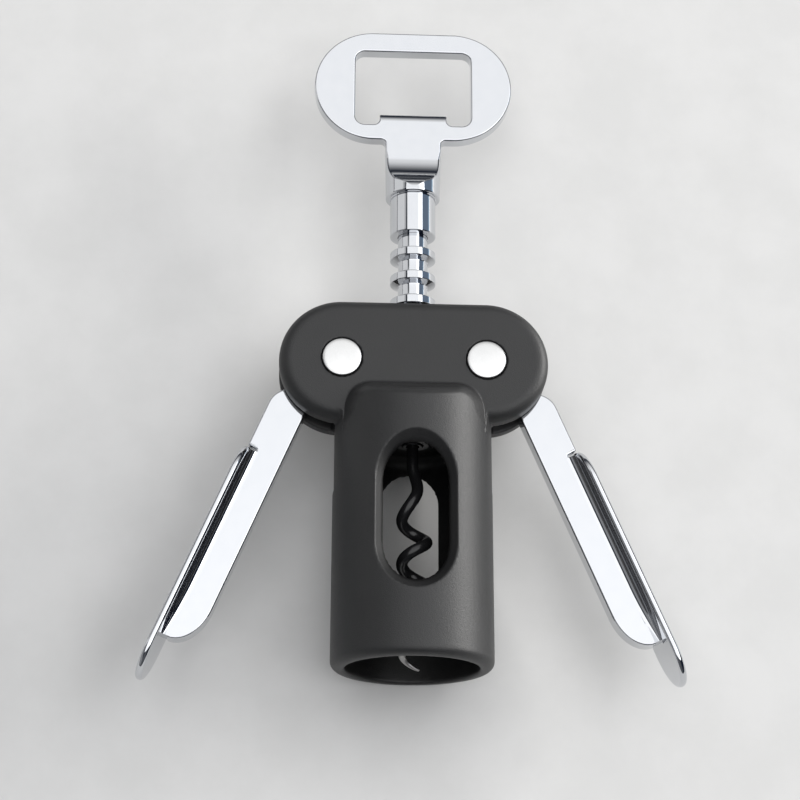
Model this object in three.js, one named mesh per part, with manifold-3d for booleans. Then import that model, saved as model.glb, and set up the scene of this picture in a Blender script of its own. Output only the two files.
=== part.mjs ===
// A double-lever corkscrew. Two cast levers with toothed hubs turn on pins between the cheeks of a
// moulded housing. Their teeth mesh with the rings of a rack sleeve, which slides along the housing.
// A spindle turns inside the sleeve, with a bottle-opener handle on top and a worm below.
//
// Every length is in millimetres. Each piece is drawn in the tool's own axes: the worm's axis is Y,
// from the bell's mouth at zero up to the handle, X points to the right and Z to the front. The tool
// then lies on its back on a surface, with Z up.
import * as THREE from 'three';
import { mergeVertices } from 'three/addons/utils/BufferGeometryUtils.js';
import Module from 'manifold-3d';

const wasm = await Module();
wasm.setup();

// Clearances and the reach of a cutting tool past what it cuts
const seatGap = 0.3;
const slideGap = 0.35;
const overrun = 6;

// Bell: the sleeve that stands over the bottle's neck
const bellRadius = 19;
const bellTopRadius = 18.9;
const bellWall = 3.4;
const bellHeight = 67.1;
const shoulderTilt = THREE.MathUtils.degToRad(66.7);
const bellShoulderRound = 4.1;
const shoulderHalfWidth = 17.3;
const shoulderCorner = 7.6;
const mouthOuterRound = 2;
const mouthInnerRound = 0.6;
const ceilingDepth = 11.1;
const ceilingRound = 3;
const sideFlatDepth = 0.4;
const sideFlatEnd = 42;

// Windows in the bell's front and back
const windowHalfWidth = 7.3;
const windowBottom = 19.3;
const windowTop = 48.6;
const windowFlare = 4.2;
const windowFlareDepth = 5.4;
const rearWindowHalfWidth = 6.7;
const rearWindowTop = 49.8;

// Head: two cheeks with the levers' slot between them
const pivotX = 17.24;
const pivotRise = 6.36;
const headRadius = 15;
const headThickness = 17;
const headRound = 3;
const slotWidth = 5.6;
const slotSideX = 19.6;
const slotTopX = 11;

// Rack sleeve
const ringRadius = 5.58;
const ringTip = 2;
const ringPitch = 6.283;
const ringCount = 8;
const topRingY = 101.8;
const coreRadius = 3.65;
const flankAngle = THREE.MathUtils.degToRad(20);
const sleeveBottom = 55.4;

// Levers
const restAngle = THREE.MathUtils.degToRad(23.1);
const webThickness = 5;
const webInner = 2.95;
const webOuter = 12.1;
const webGroove = 9.7;
const shoulderTop = 10;
const shoulderRound = 5.5;
const hookLength = 27.2;
const webLength = 76.9;
const webEndRound = 9.9;
const webEdgeRound = 0.5;
const paddleInner = 11.05;
const paddleThickness = 1.75;
const rootRadius = 2.2;
const rootEndRadius = 0.5;
const rootFromEnd = 0.35;
const rootTaper = 14;
const paddleStart = 27.4;
const paddleEnd = 88;
const paddleWidth = 17;
const paddleRound = 0.6;
const toothCount = 6;
const backlash = 0.5;
const meshRadius = 12.64;

// Pivot pins: a headed pin from the front and a cap pressed on at the back
const pinRadius = 2.6;
const pinHeadRadius = 4.64;
const pinHeadSeat = 0.9;
const pinHeadProud = 0.3;
const pinDome = 0.35;
const capBoreDepth = 1.6;
const capNeckRadius = 3.9;

// Spindle with its retaining washer
const spindleRadius = 2.4;
const washerRadius = 4;
const washerThickness = 0.8;
const socketDepth = 14;

// Handle, from the ferrule up: collar, foot, neck, and the ring with the cap lifter in its opening
const ferruleRadius = 5.62;
const ferruleBottom = 108.17;
const ferruleLength = 10.23;
const ferruleRound = 0.3;
const collarRadius = 6.75;
const collarHeight = 0.6;
const footHeight = 11;
const footCoveShare = 0.75;
const footEdge = 0.95;
const neckLength = 4.3;
const neckHalfWidth = 6.95;
const neckRound = 1.2;
const tongueLength = 4;
const tongueTaper = 0.9;
const handleHeight = 30;
const handleHalfWidth = 24.9;
const handleThickness = 3.7;
const handleRound = 0.5;
const topRim = 5.35;
const lowRim = 4.2;
const openingHalfWidth = 14.6;
const openingCorner = 2.4;
const lifterHalfWidth = 8.4;
const lifterRise = 2.8;
const lifterRound = 1.6;

// Worm and its cross pin
const wireRadius = 1.4;
const wormPitch = 10.6;
const wormRadius = 2.9;
const wormOffset = 0.45;
const wormTip = 0.6;
const wormLeftY = 35.8;
const leadInPitch = 23;
const leadInHeight = 14.6;
const pitchBlend = 0.8;
const shankTop = 66;
const wormPoint = 12;
const wormPointRadius = 0.25;
const crossPinY = 61;
const crossPinRadius = 0.5;

// Counts of flats and steps on round forms
const roundSegments = 40;
const smallSegments = 24;
const wideCurveSegments = 12;
const cornerSegments = 4;
const softSteps = 3;
const edgeSteps = 2;
const wireSides = 8;
const stepsPerTurn = 16;
const footArcSteps = 4;
const rootSteps = 6;
const footSteps = 14;

// What the driving sizes give
const boreRadius = bellRadius - bellWall;
const ceilingHeight = bellHeight - ceilingDepth;
const pivotY = bellHeight + pivotRise;
const guideRadius = ringRadius + slideGap;
const cheekFace = headThickness / 2;
const toothTipRadius = pivotX - coreRadius - slideGap;
const hubRadius = pivotX - ferruleRadius - slideGap;
const headTop = pivotY + headRadius;
const sleeveTop = ferruleBottom - seatGap;
const collarBottom = ferruleBottom + ferruleLength;
const footBottom = collarBottom + collarHeight;
const footTop = footBottom + footHeight;
const handleBottom = footTop + neckLength;
const handleTop = handleBottom + handleHeight;
const openingBottom = handleBottom + lowRim;
const openingTop = handleTop - topRim;
const lifterTop = openingBottom + lifterRise;
const shankEnd = wormLeftY + leadInHeight;
const spindleBottom = sleeveBottom - seatGap - washerThickness - seatGap;
const spindleTop = ferruleBottom + socketDepth;
const pinBore = pinRadius + seatGap;

// Closed solids and what is done with them
function toSolid(geometry) {
  geometry.deleteAttribute('normal');
  geometry.deleteAttribute('uv');
  const merged = mergeVertices(geometry, 1e-4);
  const vertProperties = new Float32Array(merged.attributes.position.array);
  const triVerts = new Uint32Array(merged.index.array);
  return new wasm.Manifold(new wasm.Mesh({ numProp: 3, vertProperties, triVerts }));
}

function toGeometry(solid) {
  const mesh = solid.getMesh();
  const geometry = new THREE.BufferGeometry();
  geometry.setAttribute('position', new THREE.BufferAttribute(mesh.vertProperties, mesh.numProp));
  geometry.setIndex(new THREE.BufferAttribute(mesh.triVerts, 1));
  return geometry;
}

function joined(...solids) {
  return solids.reduce((whole, solid) => whole.add(solid));
}

function cut(body, ...tools) {
  return tools.reduce((left, tool) => left.subtract(tool), body);
}

function moved(geometry, x, y, z) {
  geometry.translate(x, y, z);
  return geometry;
}

function mirrored(geometry) {
  const copy = geometry.clone();
  copy.scale(-1, 1, 1);
  const index = copy.index.array;
  for (let i = 0; i < index.length; i += 3) {
    [index[i], index[i + 1]] = [index[i + 1], index[i]];
  }
  return copy;
}

// A body turned about the Y axis from [radius, height] pairs that start and end on the axis
function turned(pairs, segments = roundSegments) {
  const points = pairs.map(([radius, height]) => new THREE.Vector2(radius, height));
  return new THREE.LatheGeometry(points, segments);
}

// The points of a quarter turn in a profile, from one angle to another
function profileArc(centreX, centreY, radius, from, to, steps = cornerSegments) {
  return Array.from({ length: steps + 1 }, (_, i) => {
    const angle = from + ((to - from) * i) / steps;
    return [centreX + radius * Math.cos(angle), centreY + radius * Math.sin(angle)];
  });
}

const quarter = Math.PI / 2;

// A closed skin over rings of points, with a flat face at each end
function skin(rings) {
  const sides = rings[0].length;
  const last = (rings.length - 1) * sides;
  const index = [];
  for (let ring = 0; ring < rings.length - 1; ring += 1) {
    for (let k = 0; k < sides; k += 1) {
      const a = ring * sides + k;
      const b = ring * sides + ((k + 1) % sides);
      index.push(a, b, b + sides, a, b + sides, a + sides);
    }
  }
  for (let k = 1; k < sides - 1; k += 1) {
    index.push(0, k + 1, k, last, last + k, last + k + 1);
  }
  const geometry = new THREE.BufferGeometry().setFromPoints(rings.flat());
  geometry.setIndex(index);
  return geometry;
}

// A flat outline given thickness about the plane Z = 0, with its two outer edges rounded
function slab(shape, thickness, round, roundSteps = edgeSteps, curveSegments = cornerSegments) {
  const geometry = new THREE.ExtrudeGeometry(shape, {
    depth: thickness - 2 * round,
    bevelEnabled: round > 0,
    bevelThickness: round,
    bevelSize: round,
    bevelOffset: -round,
    bevelSegments: roundSteps,
    curveSegments,
  });
  return moved(geometry, 0, 0, round - thickness / 2);
}

// A round rod along Z, from one depth to another
function rodZ(radius, x, y, from, to, segments = smallSegments) {
  const geometry = new THREE.CylinderGeometry(radius, radius, to - from, segments);
  geometry.rotateX(quarter);
  return moved(geometry, x, y, (from + to) / 2);
}

function block(fromX, toX, fromY, toY, fromZ, toZ) {
  const geometry = new THREE.BoxGeometry(toX - fromX, toY - fromY, toZ - fromZ);
  return moved(geometry, (fromX + toX) / 2, (fromY + toY) / 2, (fromZ + toZ) / 2);
}

// An outline with a half circle at each end of a line along X or Y
function stadium(fromX, fromY, toX, toY, radius) {
  const shape = new THREE.Shape();
  const angle = Math.atan2(toY - fromY, toX - fromX);
  shape.absarc(toX, toY, radius, angle - quarter, angle + quarter, false);
  shape.absarc(fromX, fromY, radius, angle + quarter, angle + 3 * quarter, false);
  return shape;
}

// Housing
function bellOutside() {
  const body = turned([
    [0, 0],
    ...profileArc(bellRadius - mouthOuterRound, mouthOuterRound, mouthOuterRound, -quarter, 0),
    [bellTopRadius, bellHeight],
    [0, bellHeight],
  ]);
  return toSolid(body).intersect(shoulderRoom());
}

// The room that the bell's top fills: it slopes up from the head's face and rounds off into the bell
function shoulderRoom() {
  const straight = (bellRadius - bellShoulderRound * (1 - Math.cos(shoulderTilt)) - cheekFace)
    / Math.tan(shoulderTilt);
  const depth = straight + bellShoulderRound * Math.sin(shoulderTilt);
  const slope = [[0, cheekFace]];
  for (let i = 0; i <= cornerSegments; i += 1) {
    const tilt = shoulderTilt * (1 - i / cornerSegments);
    const inset = depth - bellShoulderRound * Math.sin(tilt);
    slope.push([inset, bellRadius - bellShoulderRound * (1 - Math.cos(tilt))]);
  }
  slope.push([depth, bellRadius + seatGap]);
  const back = slope.map(([inset, z]) => [inset, -z]).reverse();
  const room = skin([...back, ...slope].map(([inset, z]) => shoulderOutline(inset, z)));
  const far = bellRadius + overrun;
  const below = block(-far, far, -overrun, bellHeight - depth, -far, far);
  return joined(toSolid(room), toSolid(below));
}

function shoulderOutline(inset, z) {
  const corner = shoulderCorner - inset;
  const side = shoulderHalfWidth - inset;
  const top = bellHeight - inset - corner;
  const base = bellHeight - shoulderCorner - overrun;
  const right = profileArc(side - corner, top, corner, 0, quarter);
  const left = profileArc(corner - side, top, corner, quarter, 2 * quarter);
  const points = [[-side, base], [side, base], ...right, ...left];
  return points.map(([x, y]) => new THREE.Vector3(x, y, z));
}

function bellInside() {
  const inner = boreRadius - ceilingRound;
  return turned([
    [0, -overrun],
    [boreRadius + mouthInnerRound, -overrun],
    [boreRadius + mouthInnerRound, 0],
    [boreRadius, mouthInnerRound],
    ...profileArc(inner, ceilingHeight - ceilingRound, ceilingRound, 0, quarter, softSteps),
    [0, ceilingHeight],
  ]);
}

function guideHole() {
  return turned([
    [0, ceilingHeight - overrun],
    [guideRadius, ceilingHeight - overrun],
    [guideRadius, headTop + overrun],
    [0, headTop + overrun],
  ]);
}

function windowOutline(halfWidth, top) {
  return stadium(0, windowBottom + halfWidth, 0, top - halfWidth, halfWidth);
}

// A straight way through the wall, and a mouth that flares out to the bell's surface
function windowTool(side) {
  const front = windowOutline(windowHalfWidth, windowTop);
  const rear = windowOutline(rearWindowHalfWidth, rearWindowTop);
  const outline = side > 0 ? front : rear;
  const way = new THREE.ExtrudeGeometry(outline, {
    depth: bellRadius,
    bevelEnabled: false,
    curveSegments: 2 * cornerSegments,
  });
  const flare = new THREE.ExtrudeGeometry(outline, {
    depth: overrun,
    bevelEnabled: true,
    bevelThickness: windowFlareDepth,
    bevelSize: windowFlare,
    bevelSegments: 1,
    curveSegments: 2 * cornerSegments,
  });
  moved(flare, 0, 0, bellRadius);
  const tool = joined(toSolid(way), toSolid(flare));
  if (side > 0) return tool;
  const back = toGeometry(tool);
  back.rotateY(Math.PI);
  return toSolid(back);
}

function leverSlot(side) {
  const half = slotWidth / 2;
  const round = rodZ(headRadius + seatGap, pivotX, pivotY, -half, half, roundSegments);
  const reach = pivotX + headRadius + overrun;
  const above = block(slotTopX, reach, pivotY, headTop + overrun, -half, half);
  const below = block(slotSideX, reach, pivotY - headRadius - overrun, pivotY, -half, half);
  const tool = joined(toSolid(round), toSolid(above), toSolid(below));
  return side > 0 ? tool : toSolid(mirrored(toGeometry(tool)));
}

// The pin's way through one pair of cheeks, with a seat for a head at each face
function pinWay(side) {
  const x = side * pivotX;
  const seatFloor = cheekFace - pinHeadSeat;
  const seatRadius = pinHeadRadius + seatGap;
  return joined(
    toSolid(rodZ(pinBore, x, pivotY, -cheekFace, cheekFace)),
    toSolid(rodZ(capNeckRadius + seatGap, x, pivotY, -cheekFace, -seatFloor + capBoreDepth)),
    toSolid(rodZ(seatRadius, x, pivotY, seatFloor, cheekFace + overrun)),
    toSolid(rodZ(seatRadius, x, pivotY, -cheekFace - overrun, -seatFloor)),
  );
}

function sideFlat(side) {
  const near = bellRadius - sideFlatDepth;
  const far = bellRadius + overrun;
  const top = pivotY - headRadius;
  const tool = block(near, far, sideFlatEnd, top, -bellRadius / 2, bellRadius / 2);
  return toSolid(side > 0 ? tool : mirrored(tool));
}

function housingSolid() {
  const outline = stadium(-pivotX, pivotY, pivotX, pivotY, headRadius);
  const head = slab(outline, headThickness, headRound, softSteps, wideCurveSegments);
  return cut(
    joined(toSolid(head), bellOutside()),
    toSolid(bellInside()),
    toSolid(guideHole()),
    windowTool(1),
    windowTool(-1),
    leverSlot(1),
    leverSlot(-1),
    pinWay(1),
    pinWay(-1),
    sideFlat(1),
    sideFlat(-1),
  );
}

// Rack sleeve
function rackSleeveSolid() {
  const flank = (ringRadius - coreRadius) * Math.tan(flankAngle);
  const outline = [[0, sleeveBottom], [coreRadius, sleeveBottom]];
  for (let i = ringCount - 1; i >= 0; i -= 1) {
    const low = topRingY - i * ringPitch;
    outline.push([coreRadius, low - flank]);
    outline.push([ringRadius, low]);
    outline.push([ringRadius, low + ringTip]);
    outline.push([coreRadius, low + ringTip + flank]);
  }
  outline.push([coreRadius, sleeveTop], [0, sleeveTop]);
  const bore = new THREE.CylinderGeometry(
    spindleRadius + seatGap, spindleRadius + seatGap, sleeveTop - sleeveBottom + 2 * overrun,
    smallSegments,
  );
  moved(bore, 0, (sleeveTop + sleeveBottom) / 2, 0);
  return cut(toSolid(turned(outline, smallSegments)), toSolid(bore));
}

// Levers, drawn closed: the pivot at the origin, the arm down along -Y, the outer side at +X
function involute(angle) {
  return Math.tan(angle) - angle;
}

// Half the angle that a tooth fills at a radius; its flanks fit rings with the same flank angle
function toothHalfAngle(radius) {
  const baseRadius = meshRadius * Math.cos(flankAngle);
  const ringAtMesh = ringTip + 2 * (ringRadius - (pivotX - meshRadius)) * Math.tan(flankAngle);
  const halfAtMesh = (ringPitch - ringAtMesh - backlash) / (2 * meshRadius);
  const turn = Math.acos(Math.min(1, baseRadius / radius));
  return halfAtMesh + involute(flankAngle) - involute(turn);
}

function toothAngle(index) {
  const pitch = ringPitch / meshRadius;
  const ringCentre = topRingY + ringTip / 2;
  const gapIndex = Math.round((ringCentre - pivotY) / ringPitch - 0.5);
  const gapY = ringCentre - (gapIndex + 0.5) * ringPitch - pivotY;
  return Math.PI - restAngle - gapY / meshRadius - (index - 1) * pitch;
}

function toothSolid(index) {
  const shape = new THREE.Shape();
  const centre = toothAngle(index);
  const step = (toothTipRadius - hubRadius) / 3;
  const radii = [hubRadius - step, hubRadius, hubRadius + step, toothTipRadius - step, toothTipRadius];
  const at = (radius, angle) => new THREE.Vector2(radius * Math.cos(angle), radius * Math.sin(angle));
  const right = radii.map((radius) => at(radius, centre - toothHalfAngle(radius)));
  const left = radii.map((radius) => at(radius, centre + toothHalfAngle(radius)));
  shape.setFromPoints([...right, ...left.reverse()]);
  return toSolid(slab(shape, webThickness, 0));
}

function armShape() {
  const shape = new THREE.Shape();
  const round = shoulderRound;
  const endWidth = webGroove - webInner;
  const endTop = webEndRound - webLength;
  shape.moveTo(webInner, -shoulderTop);
  shape.lineTo(webInner, endTop);
  shape.absellipse(webGroove, endTop, endWidth, webEndRound, Math.PI, 3 * quarter, false);
  shape.lineTo(webGroove, -hookLength - webEdgeRound);
  shape.lineTo(webOuter - webEdgeRound, -hookLength);
  shape.lineTo(webOuter, webEdgeRound - hookLength);
  shape.absarc(webOuter - round, -shoulderTop - round, round, 0, quarter, false);
  return shape;
}

function paddleSolid(thickness, round) {
  const halfWidth = paddleWidth / 2;
  const outline = stadium(-paddleEnd + halfWidth, 0, -paddleStart - halfWidth, 0, halfWidth);
  const plate = slab(outline, thickness, round, edgeSteps, wideCurveSegments / 2);
  plate.rotateZ(quarter);
  plate.rotateY(quarter);
  return toSolid(moved(plate, paddleInner + paddleThickness / 2, 0, 0));
}

// The round hollow corner between the web and the gripping plate, which tapers towards the tip
function paddleRoot() {
  const web = webThickness / 2;
  const inner = webGroove - 2 * webEdgeRound;
  const middle = paddleInner + paddleThickness / 2;
  const section = (radius, y) => {
    const front = [
      [inner, web - webEdgeRound],
      [inner, web],
      ...profileArc(paddleInner - radius, web + radius, radius, -quarter, 0, rootSteps),
      [middle, web + radius],
    ];
    const back = front.map(([x, z]) => [x, -z]).reverse();
    return [[middle, 0], ...back, ...front].map(([x, z]) => new THREE.Vector3(x, y, z));
  };
  const rings = [
    section(rootEndRadius, rootFromEnd - webLength),
    section(rootRadius, rootTaper - webLength),
    section(rootRadius, -hookLength),
  ];
  return toSolid(skin(rings)).intersect(paddleSolid(2 * (paddleThickness + rootRadius), 0));
}

function leverSolid() {
  const hub = new THREE.Shape();
  hub.absarc(0, 0, hubRadius, 0, 2 * Math.PI, false);
  const teeth = Array.from({ length: toothCount }, (_, index) => toothSolid(index));
  const body = joined(
    toSolid(slab(hub, webThickness, 0, edgeSteps, roundSegments)),
    ...teeth,
    toSolid(slab(armShape(), webThickness, webEdgeRound, edgeSteps, 2 * cornerSegments)),
    paddleRoot(),
    paddleSolid(paddleThickness, paddleRound),
  );
  return cut(body, toSolid(rodZ(pinBore, 0, 0, -webThickness, webThickness)));
}

// Pivot pins and caps, drawn about Y with the head up, then laid along Z. The pin reaches into the
// cap's bore at the back.
const headSeat = cheekFace - pinHeadSeat + seatGap;
const headRim = cheekFace + pinHeadProud;

function pin() {
  const end = seatGap - headSeat;
  return turned([
    [0, end],
    [pinRadius, end],
    [pinRadius, headSeat],
    [pinHeadRadius, headSeat],
    [pinHeadRadius, headRim - pinDome],
    [pinHeadRadius - pinDome, headRim],
    [0, headRim + pinDome],
  ], smallSegments);
}

function cap() {
  const neckTop = headSeat - capBoreDepth;
  return turned([
    [0, headSeat],
    [pinBore, headSeat],
    [pinBore, neckTop],
    [capNeckRadius, neckTop],
    [capNeckRadius, headSeat],
    [pinHeadRadius, headSeat],
    [pinHeadRadius, headRim - pinDome],
    [pinHeadRadius - pinDome, headRim],
    [0, headRim + pinDome],
  ], smallSegments);
}

// Spindle, its washer and the cross pin that holds the worm's shank
function spindleSolid() {
  const shaft = turned([
    [0, spindleBottom],
    [spindleRadius, spindleBottom],
    [spindleRadius, spindleTop],
    [0, spindleTop],
  ], smallSegments);
  const bore = turned([
    [0, spindleBottom - overrun],
    [wireRadius + seatGap, spindleBottom - overrun],
    [wireRadius + seatGap, shankTop + seatGap],
    [0, shankTop + seatGap],
  ], smallSegments);
  return cut(toSolid(shaft), toSolid(bore), toSolid(crossPinHole()));
}

function crossPin(radius = crossPinRadius, reach = spindleRadius) {
  const geometry = new THREE.CylinderGeometry(radius, radius, 2 * reach, smallSegments / 2);
  geometry.rotateZ(quarter);
  return moved(geometry, 0, crossPinY, 0);
}

function crossPinHole() {
  return crossPin(crossPinRadius + seatGap, spindleRadius + overrun);
}

function washer() {
  const bottom = spindleBottom + seatGap;
  const hole = spindleRadius + seatGap;
  return turned([
    [hole, bottom],
    [washerRadius, bottom],
    [washerRadius, bottom + washerThickness],
    [hole, bottom + washerThickness],
    [hole, bottom],
  ], smallSegments);
}

// Handle
function handleOutline() {
  const shape = new THREE.Shape();
  const radius = (handleTop - handleBottom) / 2;
  const middle = handleBottom + radius;
  const side = handleHalfWidth - radius;
  const tongue = neckHalfWidth - tongueTaper;
  shape.moveTo(-tongue, footTop - tongueLength);
  shape.lineTo(tongue, footTop - tongueLength);
  shape.lineTo(neckHalfWidth, footTop);
  shape.lineTo(neckHalfWidth, handleBottom - neckRound);
  shape.absarc(neckHalfWidth + neckRound, handleBottom - neckRound, neckRound, Math.PI, quarter, true);
  shape.absarc(side, middle, radius, -quarter, quarter, false);
  shape.absarc(-side, middle, radius, quarter, 3 * quarter, false);
  shape.absarc(-neckHalfWidth - neckRound, handleBottom - neckRound, neckRound, quarter, 0, true);
  shape.lineTo(-neckHalfWidth, footTop);
  return shape;
}

// The opening in the handle, with the cap lifter standing in from its lower edge
function openingPath() {
  const path = new THREE.Path();
  const right = openingHalfWidth;
  const round = openingCorner;
  const lip = lifterRound;
  const low = openingBottom;
  path.absarc(-right + round, low + round, round, Math.PI, 3 * quarter, false);
  path.absarc(-lifterHalfWidth - lip, low + lip, lip, -quarter, 0, false);
  path.lineTo(-lifterHalfWidth, lifterTop);
  path.lineTo(lifterHalfWidth, lifterTop);
  path.absarc(lifterHalfWidth + lip, low + lip, lip, Math.PI, 3 * quarter, false);
  path.absarc(right - round, low + round, round, -quarter, 0, false);
  path.absarc(right - round, openingTop - round, round, 0, quarter, false);
  path.absarc(-right + round, openingTop - round, round, quarter, Math.PI, false);
  return path;
}

// The round foot of the handle, hollowed front and back so that it runs into the flat plate
function neckFoot() {
  const rise = collarRadius - handleThickness / 2;
  const tilt = 2 * Math.atan(rise / footHeight);
  const reach = footHeight / Math.sin(tilt);
  const coveRadius = footCoveShare * reach;
  const brow = reach - coveRadius;
  const halfDepth = (share) => {
    const down = footHeight * (1 - share);
    const bend = coveRadius * Math.sin(tilt);
    if (down < bend) return handleThickness / 2 + coveRadius - Math.sqrt(coveRadius ** 2 - down ** 2);
    return collarRadius - brow + Math.sqrt(brow ** 2 - (footHeight - down) ** 2);
  };
  const section = (share, y) => {
    const edge = THREE.MathUtils.lerp(footEdge, handleRound, share);
    const most = edge + Math.sqrt((collarRadius - edge) ** 2 - (edge / 2) ** 2);
    const depth = Math.min(most, halfDepth(share));
    const edgeX = Math.sqrt((collarRadius - edge) ** 2 - (depth - edge) ** 2);
    const lean = Math.atan2(depth - edge, edgeX);
    const front = [
      ...profileArc(0, 0, collarRadius, 0, lean, footArcSteps).slice(0, footArcSteps),
      ...profileArc(edgeX, depth - edge, edge, lean, quarter, footArcSteps),
    ];
    front.push(...front.map(([x, z]) => [-x, z]).reverse());
    const wide = THREE.MathUtils.lerp(1, neckHalfWidth / collarRadius, share);
    const back = front.slice(1, front.length - 1).map(([x, z]) => [x, -z]).reverse();
    return [...front, ...back].map(([x, z]) => new THREE.Vector3(wide * x, y, z));
  };
  const rings = [];
  for (let i = 0; i <= footSteps; i += 1) {
    const share = i / footSteps;
    rings.push(section(share, footBottom + footHeight * share));
  }
  const ferrule = turned([
    [0, ferruleBottom],
    [ferruleRadius - ferruleRound, ferruleBottom],
    [ferruleRadius, ferruleBottom + ferruleRound],
    [ferruleRadius, collarBottom],
    [collarRadius, collarBottom],
    [collarRadius, footBottom],
    [0, footBottom],
  ]);
  return joined(toSolid(skin(rings.reverse())), toSolid(ferrule));
}

function handleSolid() {
  const outline = handleOutline();
  outline.holes.push(openingPath());
  const plate = slab(outline, handleThickness, handleRound, edgeSteps, wideCurveSegments);
  const socket = new THREE.CylinderGeometry(
    spindleRadius + seatGap, spindleRadius + seatGap, 2 * (socketDepth + seatGap), smallSegments,
  );
  moved(socket, 0, ferruleBottom, 0);
  return cut(joined(toSolid(plate), neckFoot()), toSolid(socket));
}

// Worm: a straight shank on the axis that runs out in a long pitch into a helix, which stands a
// little off the axis and ends in a point
function wormCentre(y) {
  const out = THREE.MathUtils.smoothstep(shankEnd - y, 0, leadInHeight);
  const rate = (2 * Math.PI) / wormPitch;
  const leadInRate = (2 * Math.PI) / leadInPitch;
  const above = Math.max(0, y - wormLeftY);
  const blended = pitchBlend * (1 - Math.exp(-above / pitchBlend));
  const below = Math.min(0, y - wormLeftY);
  const angle = below * rate + above * leadInRate + blended * (rate - leadInRate) - quarter;
  const x = wormOffset + wormRadius * Math.sin(angle);
  return new THREE.Vector3(out * x, y, out * wormRadius * Math.cos(angle));
}

function wormSolid() {
  const turns = (shankEnd - wormTip) / wormPitch;
  const steps = Math.ceil(turns * stepsPerTurn);
  const heights = [shankTop, (shankTop + shankEnd) / 2];
  for (let i = 0; i <= steps; i += 1) heights.push(shankEnd - ((shankEnd - wormTip) * i) / steps);
  const small = wormPitch / 1000;
  const rings = heights.map((y) => {
    const centre = wormCentre(y);
    const along = wormCentre(y - small).sub(wormCentre(y + small)).normalize();
    const across = new THREE.Vector3(0, 0, 1).cross(along).normalize();
    const out = along.clone().cross(across);
    const point = THREE.MathUtils.clamp((y - wormTip) / wormPoint, 0, 1);
    const radius = wormPointRadius + (wireRadius - wormPointRadius) * Math.sqrt(point);
    return Array.from({ length: wireSides }, (_, k) => {
      const angle = (2 * Math.PI * k) / wireSides;
      return centre.clone()
        .addScaledVector(across, radius * Math.cos(angle))
        .addScaledVector(out, radius * Math.sin(angle));
    });
  });
  return cut(toSolid(skin(rings)), toSolid(crossPinHole()));
}

// Finishes
const blackPlastic = { color: 0x2b2b2d, roughness: 0.55, metalness: 0 };
const chrome = { color: 0xd8dbe0, roughness: 0.12, metalness: 1 };
const satinSteel = { color: 0xe4e4e2, roughness: 0.35, metalness: 1 };
const plainSteel = { color: 0x9a9a9c, roughness: 0.3, metalness: 1 };
const blackCoating = { color: 0x151516, roughness: 0.25, metalness: 0.2 };

function piece(name, geometry, finish) {
  const flat = geometry.index ? geometry.toNonIndexed() : geometry;
  flat.computeVertexNormals();
  const mesh = new THREE.Mesh(flat, new THREE.MeshStandardMaterial(finish));
  mesh.name = name;
  return mesh;
}

function placed(object, x, y) {
  object.position.set(x, y, 0);
  return object;
}

const corkscrew = new THREE.Group();
corkscrew.add(piece('housing', toGeometry(housingSolid()), blackPlastic));

const rightLever = toGeometry(leverSolid());
const leverRight = placed(piece('lever_right', rightLever, chrome), pivotX, pivotY);
leverRight.rotation.z = restAngle;
const leverLeft = placed(piece('lever_left', mirrored(rightLever), chrome), -pivotX, pivotY);
leverLeft.rotation.z = -restAngle;
corkscrew.add(leverLeft, leverRight);

for (const [side, x] of [['left', -pivotX], ['right', pivotX]]) {
  const front = placed(piece(`pivot_pin_${side}`, pin(), satinSteel), x, pivotY);
  front.rotation.x = quarter;
  const back = placed(piece(`pivot_cap_${side}`, cap(), satinSteel), x, pivotY);
  back.rotation.x = -quarter;
  corkscrew.add(front, back);
}

corkscrew.add(piece('rack_sleeve', toGeometry(rackSleeveSolid()), chrome));
corkscrew.add(piece('handle', toGeometry(handleSolid()), chrome));
corkscrew.add(piece('spindle', toGeometry(spindleSolid()), plainSteel));
corkscrew.add(piece('retaining_washer', washer(), plainSteel));
corkscrew.add(piece('worm', toGeometry(wormSolid()), blackCoating));
corkscrew.add(piece('worm_cross_pin', crossPin(), plainSteel));

// The tool lies on the bell's back, with the middle of its outline over the origin
const group = new THREE.Group();
group.add(corkscrew);
const reach = new THREE.Box3().setFromObject(corkscrew, true);
corkscrew.position.set(0, -(reach.min.y + reach.max.y) / 2, -reach.min.z);

export default group;
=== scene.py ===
"""A double-lever corkscrew on a pale floor under soft studio light.

Every mesh is drawn in millimetres in the tool's own axes: the worm's axis is Y, from the bell's
mouth at zero up to the handle, X points to the right and Z to the front. to_row() moves it into
the row's frame in metres.
"""

import math

import bmesh
import bpy
from mathutils import Matrix, Vector
from mathutils.geometry import tessellate_polygon


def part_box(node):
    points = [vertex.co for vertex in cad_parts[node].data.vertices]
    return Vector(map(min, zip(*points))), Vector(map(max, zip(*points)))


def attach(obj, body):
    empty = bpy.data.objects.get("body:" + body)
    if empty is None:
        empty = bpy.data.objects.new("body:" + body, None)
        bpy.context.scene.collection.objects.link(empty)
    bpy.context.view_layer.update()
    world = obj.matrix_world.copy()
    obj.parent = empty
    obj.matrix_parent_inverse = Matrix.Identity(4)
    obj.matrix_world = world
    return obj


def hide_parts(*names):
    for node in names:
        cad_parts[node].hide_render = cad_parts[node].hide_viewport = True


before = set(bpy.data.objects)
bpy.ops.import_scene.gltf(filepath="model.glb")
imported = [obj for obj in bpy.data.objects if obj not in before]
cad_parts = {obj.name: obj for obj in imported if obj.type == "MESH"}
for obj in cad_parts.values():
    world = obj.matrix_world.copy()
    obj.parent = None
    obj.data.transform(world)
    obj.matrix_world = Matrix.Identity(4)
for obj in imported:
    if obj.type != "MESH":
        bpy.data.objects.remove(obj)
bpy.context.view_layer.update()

scene = bpy.context.scene

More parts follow.
